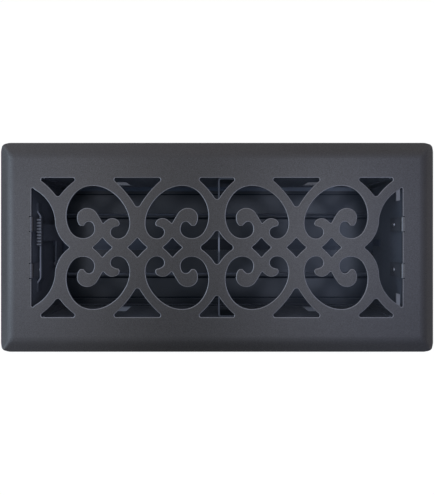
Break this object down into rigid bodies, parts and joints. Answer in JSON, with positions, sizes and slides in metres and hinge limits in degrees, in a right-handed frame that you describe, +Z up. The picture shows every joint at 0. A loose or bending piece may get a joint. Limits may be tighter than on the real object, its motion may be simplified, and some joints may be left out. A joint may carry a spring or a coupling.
{
  "type": "floor register",
  "caption": "Stamped steel floor register with a pierced scrollwork face, a sheet metal duct box and two damper blades turned by a thumb lever.",
  "frame": {"origin": "middle of the face, on the floor plane that the rim's lip rests on", "axes": "+X along the face away from the lever, +Y across the face, +Z up out of the floor"},
  "size_m": [0.2954, 0.143, 0.0625],
  "materials": {
    "face_paint": "satin gunmetal enamel",
    "box_paint": "dark grey enamel",
    "blade_paint": "gloss black enamel",
    "rod_steel": "drawn bright steel",
    "grip_plastic": "moulded, ridged"
  },
  "bodies": {
    "register_frame": {"faceplate": "face_paint", "side_wall_front": "box_paint", "side_wall_rear": "box_paint", "end_wall_left": "box_paint", "end_wall_right": "box_paint", "blade_stop_front": "blade_paint", "blade_stop_rear": "blade_paint", "centre_mullion": "box_paint", "cross_brace": "blade_paint", "lever_strap": "box_paint"},
    "front_blade": {"blade_front": "blade_paint", "pivot_rod_front": "rod_steel", "rod_retainers_front": "rod_steel", "link_pin_front": "rod_steel"},
    "rear_blade": {"blade_rear": "blade_paint", "pivot_rod_rear": "rod_steel", "rod_retainers_rear": "rod_steel", "link_pin_rear": "rod_steel"},
    "lever": {"damper_lever": "box_paint", "thumb_grip": "grip_plastic"}
  },
  "joints": [
    {"name": "front_damper", "type": "hinge", "parent": "register_frame", "child": "front_blade", "pos_m": [0, -0.0235, -0.0345], "axis": [1, 0, 0], "range_deg": [0, 90]},
    {"name": "rear_damper", "type": "hinge", "parent": "register_frame", "child": "rear_blade", "pos_m": [0, 0.0235, -0.0345], "axis": [1, 0, 0], "range_deg": [0, 90]},
    {"name": "lever_link", "type": "hinge", "parent": "front_blade", "child": "lever", "pos_m": [-0.1216, -0.0131, -0.0241], "axis": [1, 0, 0], "range_deg": [-90, 0]}
  ],
  "couplings": [
    {"joint": "rear_damper", "follows": "front_damper", "ratio": 1},
    {"joint": "lever_link", "follows": "front_damper", "ratio": -1}
  ]
}
